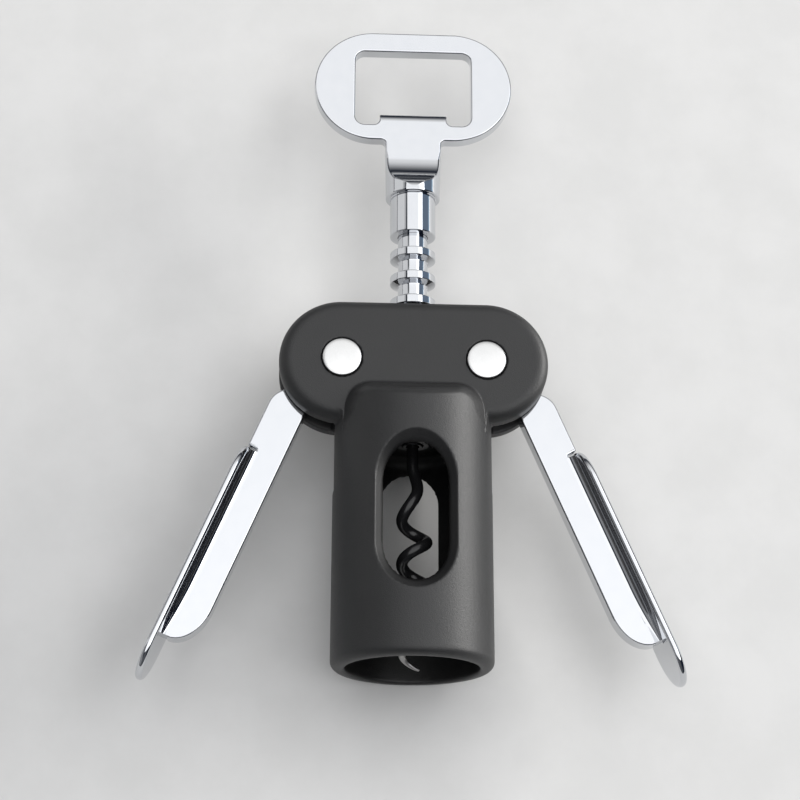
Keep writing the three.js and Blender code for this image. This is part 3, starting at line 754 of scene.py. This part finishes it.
def arm_outline():
    end_top = WEB_END_ROUND - WEB_LENGTH
    corner, nick_low, nick_high, nick_width = 0.35, 0.6, 0.25, 0.12
    outline = [(WEB_INNER, -SHOULDER_TOP), (WEB_INNER, end_top)]
    outline += ellipse_arc(WEB_GROOVE, end_top, WEB_GROOVE - WEB_INNER, WEB_END_ROUND, 180, 270)
    outline += [(WEB_GROOVE, -HOOK_LENGTH - nick_low)]
    outline += [(WEB_GROOVE + nick_width, -HOOK_LENGTH - nick_high)]
    outline += arc(WEB_OUTER - corner, -HOOK_LENGTH + corner, corner, -80, 0, 5)
    shoulder_x, shoulder_y = WEB_OUTER - SHOULDER_ROUND, -SHOULDER_TOP - SHOULDER_ROUND
    return outline + arc(shoulder_x, shoulder_y, SHOULDER_ROUND, 0, 90, 16)


def paddle(thickness=PADDLE_THICKNESS, rounding=PADDLE_ROUND, less=0):
    """The gripping plate, or a plain slab of its outline made smaller all round."""
    half = PADDLE_WIDTH / 2
    outline = stadium(-PADDLE_END + half, 0, -PADDLE_START - half, 0, half - less, 32)
    plate = slab(outline, thickness, rounding, steps=8)
    turn = Matrix.Rotation(math.radians(90), 4, "Y") @ Matrix.Rotation(math.radians(90), 4, "Z")
    plate.transform(Matrix.Translation((PADDLE_INNER + PADDLE_THICKNESS / 2, 0, 0)) @ turn)
    return plate


def paddle_root():
    """The round hollow corner between the web and the gripping plate, tapering towards the tip."""
    web, core = WEB_THICKNESS / 2, PADDLE_INNER + PADDLE_THICKNESS / 2
    rows = []
    for i in range(13):
        y = ROOT_FROM_END - WEB_LENGTH + (ROOT_TAPER - ROOT_FROM_END) * i / 12
        radius = ROOT_END_RADIUS + (ROOT_RADIUS - ROOT_END_RADIUS) * math.sin(math.radians(7.5 * i))
        rows.append(root_section(y, radius, web, core))
    rows.append(root_section(-HOOK_LENGTH - ROOT_BELOW_HOOK, ROOT_RADIUS, web, core))
    return combined("INTERSECT", rings_joined(rows), paddle(REACH, 0, ROOT_LESS))


def root_section(y, radius, web, core):
    start, face = PADDLE_INNER - radius, web - ROOT_SUNK
    inner = WEB_GROOVE - 2 * WEB_ROUND
    front = [(inner, web - WEB_ROUND), (inner, face)] + arc(start, face + radius, radius, -90, 0, 20)
    front.append((core, web + radius))
    return [(x, y, -z) for x, z in reversed(front)] + [(x, y, z) for x, z in front]


def lever_mesh():
    hub = slab(toothed_outline(), HUB_THICKNESS, HUB_ROUND, steps=2)
    arm = slab(arm_outline(), WEB_THICKNESS, WEB_ROUND, steps=6)
    bore = rod_z(PIN_RADIUS + GAP, 0, 0, -WEB_THICKNESS, WEB_THICKNESS)
    lever = cut(joined(arm, hub, paddle_root(), paddle()), bore)
    turn = Matrix.Rotation(REST_ANGLE, 4, "Z")
    lever.transform(Matrix.Translation((PIVOT_X, PIVOT_Y, 0)) @ turn)
    return lever


right_lever = lever_mesh()
left_lever = mirrored(right_lever)
piece("lever_left_casting", left_lever, "lever_left", "lever_left", "chrome_casting")
piece("lever_right_casting", right_lever, "lever_right", "lever_right", "chrome_casting")


# Rack sleeve
def rack_mesh():
    corner, inset_share, last_turn = 0.22, 0.9, 70
    fillet, fillet_low, fillet_rise = 0.2, 0.02, 0.08
    flank = (RING_RADIUS - CORE_RADIUS) * math.tan(FLANK_ANGLE)
    outer = [(CORE_RADIUS, SLEEVE_LOW)]
    for i in reversed(range(RING_COUNT)):
        low = TOP_RING - i * RING_PITCH
        high = low + RING_TIP
        outer.append((CORE_RADIUS, low - flank - fillet))
        outer.append((CORE_RADIUS + fillet_rise, low - flank + fillet_low))
        outer += arc(RING_RADIUS - corner, low + corner * inset_share, corner, -last_turn, 0, 4)
        outer += arc(RING_RADIUS - corner, high - corner * inset_share, corner, 0, last_turn, 4)
        outer.append((CORE_RADIUS + fillet_rise, high + flank - fillet_low))
        outer.append((CORE_RADIUS, high + flank + fillet))
    top = FERRULE_LOW + SLEEVE_RECESS - GAP
    bore = SPINDLE_RADIUS + GAP
    return lathe(outer + [(CORE_RADIUS, top), (bore, top), (bore, SLEEVE_LOW)], closed=True)


piece("rack_rings", rack_mesh(), "rack_sleeve", "rack", "chrome_turned")


# Handle
def handle_outline():
    radius = (HANDLE_HIGH - HANDLE_LOW) / 2
    middle = HANDLE_LOW + radius
    side = HANDLE_HALF - radius
    inner = NECK_HALF + NECK_ROUND
    tongue = NECK_HALF - TONGUE_TAPER
    top, low = FOOT_TOP + NECK_ROUND, FOOT_TOP - TONGUE_LENGTH
    outline = [(-NECK_HALF, top), (-tongue, low), (tongue, low), (NECK_HALF, top)]
    outline += arc(inner, HANDLE_LOW - NECK_ROUND, NECK_ROUND, 180, 90, 8)
    outline += arc(side, middle, radius, -90, 90, 64)
    outline += arc(-side, middle, radius, 90, 270, 64)
    outline += arc(-inner, HANDLE_LOW - NECK_ROUND, NECK_ROUND, 90, 0, 8)
    return outline


def opening_outline():
    """The opening with the cap lifter standing in from its lower edge, the material to the left."""
    corner, lip = OPENING_CORNER, LIFTER_ROUND
    right, top, low = OPENING_HALF, OPENING_HIGH, OPENING_LOW
    outline = arc(-right + corner, low + corner, corner, 180, 270)
    outline += arc(-LIFTER_HALF - lip, low + lip, lip, -90, 0)
    tip_x, tip_y = LIFTER_HALF - LIFTER_CORNER, LIFTER_TOP - LIFTER_CORNER
    outline += arc(-tip_x, tip_y, LIFTER_CORNER, 180, 90, 4)
    outline += arc(tip_x, tip_y, LIFTER_CORNER, 90, 0, 4)
    outline += arc(LIFTER_HALF + lip, low + lip, lip, 180, 270)
    outline += arc(right - corner, low + corner, corner, -90, 0)
    outline += arc(right - corner, top - corner, corner, 0, 90)
    outline += arc(-right + corner, top - corner, corner, 90, 180)
    return outline[::-1]


def foot_half_depth(down):
    """Half the foot's thickness at a distance below its top: a cove, then a brow over the collar."""
    rise = COLLAR_RADIUS - HANDLE_THICKNESS / 2
    tilt = 2 * math.atan(rise / FOOT_HEIGHT)
    reach = FOOT_HEIGHT / math.sin(tilt)
    cove = FOOT_COVE_SHARE * reach
    brow = reach - cove
    if down < cove * math.sin(tilt):
        return HANDLE_THICKNESS / 2 + cove - math.sqrt(cove ** 2 - max(0, down) ** 2)
    return COLLAR_RADIUS - brow + math.sqrt(brow ** 2 - max(0, FOOT_HEIGHT - down) ** 2)


def foot_section(y):
    """A section of the foot: a round bar with a flat in front and behind, and rounded edges."""
    share = max(0, min(1, (y - FOOT_TOP + FOOT_HEIGHT) / FOOT_HEIGHT))
    edge = HANDLE_ROUND + (FOOT_EDGE - HANDLE_ROUND) * (1 - max(0, y - FOOT_TOP) / NECK_ROUND)
    most = edge + math.sqrt((COLLAR_RADIUS - edge) ** 2 - FOOT_FLAT ** 2)
    half_z = min(most, foot_half_depth(FOOT_TOP - y) + TOUCH)
    edge_z = half_z - edge
    edge_x = math.sqrt((COLLAR_RADIUS - edge) ** 2 - edge_z ** 2)
    lean = math.degrees(math.atan2(edge_z, edge_x))
    quarter = arc(0, 0, COLLAR_RADIUS, 0, lean, 12)[:-1] + arc(edge_x, edge_z, edge, lean, 90, 12)
    quarter += [(edge_x * (1 - i / 4), half_z) for i in range(1, 4)] + [(0, half_z)]
    widen = (COLLAR_RADIUS + (NECK_HALF - COLLAR_RADIUS) * share) / COLLAR_RADIUS
    front = quarter + [(-x, z) for x, z in quarter[-2::-1]]
    outline = front + [(x, -z) for x, z in front[-2:0:-1]]
    return [(x * widen, y, z) for x, z in outline]


def handle_mesh():
    plate = slab(handle_outline(), HANDLE_THICKNESS, HANDLE_ROUND, [opening_outline()], steps=6)
    steps = 40
    heights = [FOOT_TOP + NECK_ROUND, FOOT_TOP + NECK_ROUND / 2]
    heights += [FOOT_TOP - FOOT_HEIGHT * i / steps for i in range(steps + 1)]
    foot = rings_joined([foot_section(y) for y in heights])
    profile = [(0, FERRULE_LOW)]
    profile += rounded_below(FERRULE_RADIUS, FERRULE_LOW, FERRULE_ROUND)
    profile += [(FERRULE_RADIUS, FERRULE_HIGH - FERRULE_LIP), (FERRULE_RADIUS + FERRULE_LIP, FERRULE_HIGH)]
    profile += rounded_below(COLLAR_RADIUS, FERRULE_HIGH, COLLAR_ROUND)
    profile += [(COLLAR_RADIUS, COLLAR_HIGH + TOUCH), (0, COLLAR_HIGH + TOUCH)]
    socket = SPINDLE_RADIUS + GAP
    low, high = FERRULE_LOW - REACH, SPINDLE_HIGH + GAP
    recess, seat = CORE_RADIUS + RECESS_PLAY, FERRULE_LOW + SLEEVE_RECESS
    hole = lathe([(0, low), (recess, low), (recess, seat), (socket, seat), (socket, high), (0, high)])
    return cut(joined(plate, foot, lathe(profile)), hole, lifter_slope())


def rounded_below(radius, low, rounding):
    return arc(radius - rounding, low + rounding, rounding, -90, 0, 6)


def lifter_slope():
    """What is taken off the lifter's lip, so that it rolls down to the opening."""
    start, face = LIFTER_TOP - LIFTER_SLOPE, HANDLE_THICKNESS / 2
    steps = [LIFTER_STEP * i for i in range(8)]
    roll = [(start + step, face - LIFTER_CURVE * step ** 2) for step in steps]
    outline = roll + [(roll[-1][0], face + REACH), (start, face + REACH)]
    half = LIFTER_HALF + GAP
    return rings_joined([[(x, y, z) for y, z in outline] for x in (-half, half)])


piece("handle_casting", handle_mesh(), "handle", "handle", "chrome_casting")


# Worm and what holds it
def worm_centre(y):
    share = max(0, min(1, (WORM_LEFT + LEAD_IN_HEIGHT - y) / LEAD_IN_HEIGHT))
    out = share * share * (3 - 2 * share)
    rate, slow = 2 * math.pi / WORM_PITCH, 2 * math.pi / LEAD_IN_PITCH
    above = max(0, y - WORM_LEFT)
    merged = PITCH_BLEND * (1 - math.exp(-above / PITCH_BLEND))
    angle = min(0, y - WORM_LEFT) * rate + above * slow + merged * (rate - slow) - math.pi / 2
    x = out * (WORM_OFFSET + WORM_RADIUS * math.sin(angle))
    return Vector((x, y, out * WORM_RADIUS * math.cos(angle)))


def worm_mesh():
    sides, steps = 20, 260
    top = WORM_LEFT + LEAD_IN_HEIGHT
    heights = [SHANK_TOP, SHANK_TOP - 2, top + 1]
    heights += [top - (top - WORM_TIP) * i / steps for i in range(steps + 1)]
    rows = []
    for y in heights:
        along = (worm_centre(y - TOUCH) - worm_centre(y + TOUCH)).normalized()
        across = Vector((0, 0, 1)).cross(along).normalized()
        out = along.cross(across)
        point = max(0, min(1, (y - WORM_TIP) / WORM_POINT))
        radius = WORM_POINT_RADIUS + (WIRE_RADIUS - WORM_POINT_RADIUS) * math.sqrt(point)
        turns = [2 * math.pi * k / sides for k in range(sides)]
        rows.append([
            worm_centre(y) + radius * (math.cos(a) * across + math.sin(a) * out) for a in turns
        ])
    return cut(rings_joined(rows), cross_pin_mesh(CROSS_PIN_RADIUS + GAP, REACH))


def cross_pin_mesh(radius=CROSS_PIN_RADIUS, reach=SPINDLE_RADIUS):
    pin = lathe([(0, -reach), (radius, -reach), (radius, reach), (0, reach)], 24)
    turn = Matrix.Rotation(math.radians(90), 4, "Z")
    pin.transform(Matrix.Translation((0, CROSS_PIN_Y, 0)) @ turn)
    return pin


def spindle_mesh():
    bore = WIRE_RADIUS + GAP
    low, high = SPINDLE_LOW, SPINDLE_HIGH
    bore_top = SHANK_TOP + GAP
    edge = 0.2
    profile = [
        (0, bore_top), (bore, bore_top), (bore, low), (SPINDLE_RADIUS - edge, low),
        (SPINDLE_RADIUS, low + edge), (SPINDLE_RADIUS, high), (0, high),
    ]
    return cut(lathe(profile), cross_pin_mesh(CROSS_PIN_RADIUS + GAP, REACH))


def washer_mesh():
    hole, low = SPINDLE_RADIUS + GAP, SPINDLE_LOW + GAP
    high = low + WASHER_THICKNESS
    edge = 0.12
    profile = [
        (hole, low), (WASHER_RADIUS - edge, low), (WASHER_RADIUS, low + edge),
        (WASHER_RADIUS, high - edge), (WASHER_RADIUS - edge, high), (hole, high),
    ]
    return lathe(profile, closed=True)


piece("worm_wire", worm_mesh(), "worm", "handle", "black_coating")
piece("spindle_rod", spindle_mesh(), "spindle", "handle", "plain_steel")
piece("washer", washer_mesh(), "retaining_washer", "handle", "plain_steel")
piece("cross_pin", cross_pin_mesh(), "worm_cross_pin", "handle", "plain_steel")


# Floor, light and camera
def floor():
    material, tree = new_finish("pale floor")
    cloud = tree.noise(tree.place(), 22, 5, 0.6)
    tree.surface(
        Base_Color=tree.mix(cloud.between(0.3, 0.7), (0.65, 0.648, 0.64), (0.69, 0.687, 0.68)),
        Roughness=0.85,
    )
    mesh = bpy.data.meshes.new("floor")
    half = 20
    corners = [(-half, -half, 0), (half, -half, 0), (half, half, 0), (-half, half, 0)]
    mesh.from_pydata(corners, [], [(0, 1, 2, 3)])
    made = bpy.data.objects.new("floor", mesh)
    mesh.materials.append(material)
    scene.collection.objects.link(made)


def studio_world():
    """The studio as the chrome sees it.

    A large softbox hangs overhead, more to the right. The wall on the left is pale, the wall beyond
    the handle falls off towards the floor, and the room is dark on the right but for a low window.
    """
    world = bpy.data.worlds.new("studio")
    scene.world = world
    tree = Tree(world)
    direction = tree.node("TexCoord", output="Generated")
    x, y, z = (tree.node("SeparateXYZ", {}, {0: direction}, output=i) for i in range(3))
    up = z.maths("MAXIMUM", z, 0.001)
    aside, beyond = x / up, y / up
    elevation = z.maths("ARCSINE", z) * (180 / math.pi)
    turn = x.maths("ARCTAN2", x, y) * (180 / math.pi)

    # The softbox overhead
    over = aside.between(-0.59, -0.56) * (1 - aside.between(0.98, 1.08))
    over = over * beyond.between(-0.75, -0.6) * (1 - beyond.between(0.66, 0.95))
    glow = 1.56 - beyond.between(0.15, 0.5) * 0.24 + aside.between(0.35, 1.1) * 2.6
    # The wall beyond the handle
    fall = elevation.between(8, 55) * 1.15 + (1 - elevation.between(5, 8)) * 0.25
    far = (1 - turn.maths("ABSOLUTE", turn).between(44, 52)) * fall
    # The pale wall on the left, with a brighter panel in it
    seen = y.between(0.14, 0.24) * (1 - y.between(0.42, 0.52))
    left = (1 - turn.between(-52, -44)) * turn.between(-160, -140) * elevation.between(1, 4)
    panel = seen * (1 - aside.between(-0.80, -0.74)) * 0.57
    left = left * (panel + (1 - aside.between(-1.05, -0.95)) * 0.3)
    # The low window on the right, the dark wall round it and the near side
    low_window = seen * x.between(0, 0.1) * (1 - elevation.between(2, 9))
    right = seen * x.between(0.1, 0.2) * 0.16
    near = turn.maths("ABSOLUTE", turn).between(140, 160) * 0.10

    # The room and, in front of it, the softbox
    grey = far + left + near
    room = tree.mix(grey, (0.012, 0.017, 0.03), (1.012, 1.012, 1.01))
    for share, light in ((low_window, (0.3, 0.42, 0.5, 1)), (right, (1, 1.3, 1.7, 1))):
        lit = {0: share, 6: room, 7: light}
        room = tree.node("Mix", {"data_type": "RGBA", "blend_type": "ADD"}, lit, output=2)
    lamp = tree.node("CombineXYZ", {}, {0: glow, 1: glow * 1.005, 2: glow * 1.015})
    colour = tree.mix(over, room, lamp)
    background = tree.node("Background", {}, {"Color": colour, "Strength": 1.0})
    tree.node("OutputWorld", {}, {"Surface": background})


def side_lamp():
    """A low lamp on the right that lights the black moulding and the floor."""
    data = bpy.data.lights.new("side lamp", "AREA")
    data.shape = "RECTANGLE"
    data.size, data.size_y = 1.64, 0.58
    data.energy, distance = 64, 2.4
    data.color = (1.0, 0.985, 0.96)
    made = bpy.data.objects.new("side lamp", data)
    toward = Vector((0.912, 0.332, 0.242))
    made.location = to_row((0, 45, 0)) + distance * toward
    made.rotation_euler = toward.to_track_quat("Z", "Y").to_euler()
    scene.collection.objects.link(made)
    lit = bpy.data.collections.new("lit by the side lamp")
    for name in ("housing_shell", "floor"):
        lit.objects.link(bpy.data.objects[name])
    made.light_linking.receiver_collection = lit


def camera():
    forward = Vector(CAMERA_FORWARD).normalized()
    level = forward.cross(Vector((0, 1, 0))).normalized()
    upright = level.cross(forward)
    right = math.cos(CAMERA_ROLL) * level + math.sin(CAMERA_ROLL) * upright
    up = math.cos(CAMERA_ROLL) * upright - math.sin(CAMERA_ROLL) * level
    data = bpy.data.cameras.new("camera")
    data.sensor_width = 36
    data.lens = CAMERA_LENS
    data.clip_start = 0.01
    made = bpy.data.objects.new("camera", data)
    turn = Matrix((right, up, -forward)).transposed().to_4x4()
    made.matrix_world = Matrix.Translation(to_row(CAMERA_PLACE)) @ turn
    scene.collection.objects.link(made)
    scene.camera = made


floor()
studio_world()
side_lamp()
camera()
scene.view_settings.view_transform = "Standard"
